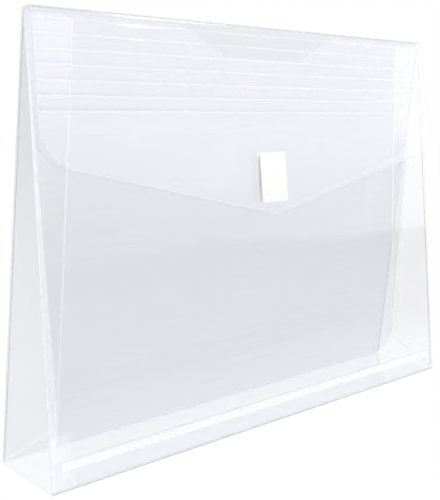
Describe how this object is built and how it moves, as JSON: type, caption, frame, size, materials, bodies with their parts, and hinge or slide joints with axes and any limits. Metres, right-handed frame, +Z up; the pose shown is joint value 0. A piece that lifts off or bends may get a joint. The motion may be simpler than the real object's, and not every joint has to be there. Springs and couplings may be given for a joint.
{
  "type": "expansion envelope",
  "caption": "Clear plastic document envelope that stands on a gusseted foot, with a scored flap, a thumb notch and a hook-and-loop tab.",
  "frame": {"origin": "middle of the foot's underside, on the surface it stands on", "axes": "+Z up; X along the width; the front wall, flap and tab face -Y"},
  "size_m": [0.33, 0.05, 0.2395],
  "materials": {
    "clear_sheet": "clear polypropylene sheet, glossy and faintly hazy",
    "clear_gusset": "thin clear polypropylene sheet, creased",
    "flap_sheet": "clear polypropylene sheet, a little milkier",
    "weld": "stress-whitened weld, knurled",
    "hook_tape": "white woven tape with moulded hooks",
    "loop_tape": "white napped loop tape",
    "adhesive": "clear pressure-sensitive adhesive"
  },
  "bodies": {
    "foot": {"bottom_panel": "clear_sheet"},
    "front": {"front_panel": "clear_sheet", "front_flange": "clear_sheet", "weld_seam": "weld", "loop_adhesive": "adhesive", "loop_tab": "loop_tape"},
    "back": {"back_panel": "clear_sheet"},
    "flap_band_1": {"flap_strip_1": "flap_sheet"},
    "top_band": {"top_band": "flap_sheet"},
    "flap_band_2": {"flap_strip_2": "flap_sheet"},
    "flap_band_3": {"flap_strip_3": "flap_sheet"},
    "flap_band_4": {"flap_strip_4": "flap_sheet"},
    "flap_band_5": {"flap_strip_5": "flap_sheet"},
    "flap_band_6": {"flap_strip_6": "flap_sheet"},
    "flap_band_7": {"flap_strip_7": "flap_sheet"},
    "flap": {"flap_panel": "flap_sheet", "hook_adhesive": "adhesive", "hook_tab": "hook_tape"},
    "gusset_right_foot": {"gusset_right_foot": "clear_gusset"},
    "gusset_right_front_lower": {"gusset_right_front_lower": "clear_gusset"},
    "gusset_right_front_upper": {"gusset_right_front_upper": "clear_gusset"},
    "gusset_right_back_lower": {"gusset_right_back_lower": "clear_gusset"},
    "gusset_right_back_upper": {"gusset_right_back_upper": "clear_gusset"},
    "gusset_left_foot": {"gusset_left_foot": "clear_gusset"},
    "gusset_left_front_lower": {"gusset_left_front_lower": "clear_gusset"},
    "gusset_left_front_upper": {"gusset_left_front_upper": "clear_gusset"},
    "gusset_left_back_lower": {"gusset_left_back_lower": "clear_gusset"},
    "gusset_left_back_upper": {"gusset_left_back_upper": "clear_gusset"}
  },
  "joints": [
    {"name": "front_swing", "type": "hinge", "parent": "foot", "child": "front", "pos_m": [0, -0.02475, 0.00065], "axis": [1, 0, 0], "range_deg": [0, 2.45]},
    {"name": "back_swing", "type": "hinge", "parent": "foot", "child": "back", "pos_m": [0, 0.02475, 0.00065], "axis": [1, 0, 0], "range_deg": [-2.45, 0]},
    {"name": "flap_fold", "type": "hinge", "parent": "back", "child": "top_band", "pos_m": [0, 0.00082, 0.23925], "axis": [-1, 0, 0], "range_deg": [0, 100]},
    {"name": "flap_front_fold", "type": "hinge", "parent": "top_band", "child": "flap_band_1", "pos_m": [0, -0.0035, 0.23925], "axis": [-1, 0, 0], "range_deg": [0, 102]},
    {"name": "score_line_1", "type": "hinge", "parent": "flap_band_1", "child": "flap_band_2", "pos_m": [0, -0.00412, 0.23409], "axis": [-1, 0, 0], "range_deg": [0, 15]},
    {"name": "score_line_2", "type": "hinge", "parent": "flap_band_2", "child": "flap_band_3", "pos_m": [0, -0.00504, 0.22645], "axis": [-1, 0, 0], "range_deg": [0, 15]},
    {"name": "score_line_3", "type": "hinge", "parent": "flap_band_3", "child": "flap_band_4", "pos_m": [0, -0.00596, 0.2188], "axis": [-1, 0, 0], "range_deg": [0, 15]},
    {"name": "score_line_4", "type": "hinge", "parent": "flap_band_4", "child": "flap_band_5", "pos_m": [0, -0.00688, 0.21116], "axis": [-1, 0, 0], "range_deg": [0, 15]},
    {"name": "score_line_5", "type": "hinge", "parent": "flap_band_5", "child": "flap_band_6", "pos_m": [0, -0.00781, 0.20351], "axis": [-1, 0, 0], "range_deg": [0, 15]},
    {"name": "score_line_6", "type": "hinge", "parent": "flap_band_6", "child": "flap_band_7", "pos_m": [0, -0.00873, 0.19587], "axis": [-1, 0, 0], "range_deg": [0, 15]},
    {"name": "score_line_7", "type": "hinge", "parent": "flap_band_7", "child": "flap", "pos_m": [0, -0.00965, 0.18822], "axis": [-1, 0, 0], "range_deg": [0, 15]},
    {"name": "right_foot_fold", "type": "hinge", "parent": "foot", "child": "gusset_right_foot", "pos_m": [0.1644, 0, 0.00153], "axis": [0, 1, 0], "range_deg": [0, 3.18]},
    {"name": "right_front_edge_fold", "type": "hinge", "parent": "front", "child": "gusset_right_front_lower", "pos_m": [0.1644, -0.02396, 0.00153], "axis": [0, 0.0998, 0.995], "range_deg": [-3.05, 0]},
    {"name": "right_front_gusset_fold", "type": "hinge", "parent": "gusset_right_front_lower", "child": "gusset_right_front_upper", "pos_m": [0.14631, -0.0003, 0.02327], "axis": [0.0843, -0.0002, 0.9964], "range_deg": [-17.63, 0]},
    {"name": "right_back_edge_fold", "type": "hinge", "parent": "back", "child": "gusset_right_back_lower", "pos_m": [0.1644, 0.02396, 0.00153], "axis": [0, -0.0998, 0.995], "range_deg": [0, 3.05]},
    {"name": "right_back_gusset_fold", "type": "hinge", "parent": "gusset_right_back_lower", "child": "gusset_right_back_upper", "pos_m": [0.14631, 0.0003, 0.02327], "axis": [0.0843, 0.0002, 0.9964], "range_deg": [0, 17.63]},
    {"name": "left_foot_fold", "type": "hinge", "parent": "foot", "child": "gusset_left_foot", "pos_m": [-0.1644, 0, 0.00153], "axis": [0, 1, 0], "range_deg": [-3.18, 0]},
    {"name": "left_front_edge_fold", "type": "hinge", "parent": "front", "child": "gusset_left_front_lower", "pos_m": [-0.1644, -0.02396, 0.00153], "axis": [0, 0.0998, 0.995], "range_deg": [0, 3.05]},
    {"name": "left_front_gusset_fold", "type": "hinge", "parent": "gusset_left_front_lower", "child": "gusset_left_front_upper", "pos_m": [-0.14631, -0.0003, 0.02327], "axis": [-0.0843, -0.0002, 0.9964], "range_deg": [0, 17.63]},
    {"name": "left_back_edge_fold", "type": "hinge", "parent": "back", "child": "gusset_left_back_lower", "pos_m": [-0.1644, 0.02396, 0.00153], "axis": [0, -0.0998, 0.995], "range_deg": [-3.05, 0]},
    {"name": "left_back_gusset_fold", "type": "hinge", "parent": "gusset_left_back_lower", "child": "gusset_left_back_upper", "pos_m": [-0.14631, 0.0003, 0.02327], "axis": [-0.0843, 0.0002, 0.9964], "range_deg": [-17.63, 0]}
  ],
  "couplings": [
    {"joint": "front_swing", "follows": "flap_fold", "ratio": 0.024},
    {"joint": "back_swing", "follows": "flap_fold", "ratio": -0.024},
    {"joint": "flap_front_fold", "follows": "flap_fold", "ratio": 1},
    {"joint": "right_foot_fold", "follows": "flap_fold", "ratio": 0.031184},
    {"joint": "right_front_edge_fold", "follows": "flap_fold", "ratio": -0.029884},
    {"joint": "right_front_gusset_fold", "follows": "flap_fold", "ratio": -0.17281},
    {"joint": "right_back_edge_fold", "follows": "flap_fold", "ratio": 0.029884},
    {"joint": "right_back_gusset_fold", "follows": "flap_fold", "ratio": 0.17281},
    {"joint": "left_foot_fold", "follows": "flap_fold", "ratio": -0.031184},
    {"joint": "left_front_edge_fold", "follows": "flap_fold", "ratio": 0.029884},
    {"joint": "left_front_gusset_fold", "follows": "flap_fold", "ratio": 0.17281},
    {"joint": "left_back_edge_fold", "follows": "flap_fold", "ratio": -0.029884},
    {"joint": "left_back_gusset_fold", "follows": "flap_fold", "ratio": -0.17281}
  ]
}
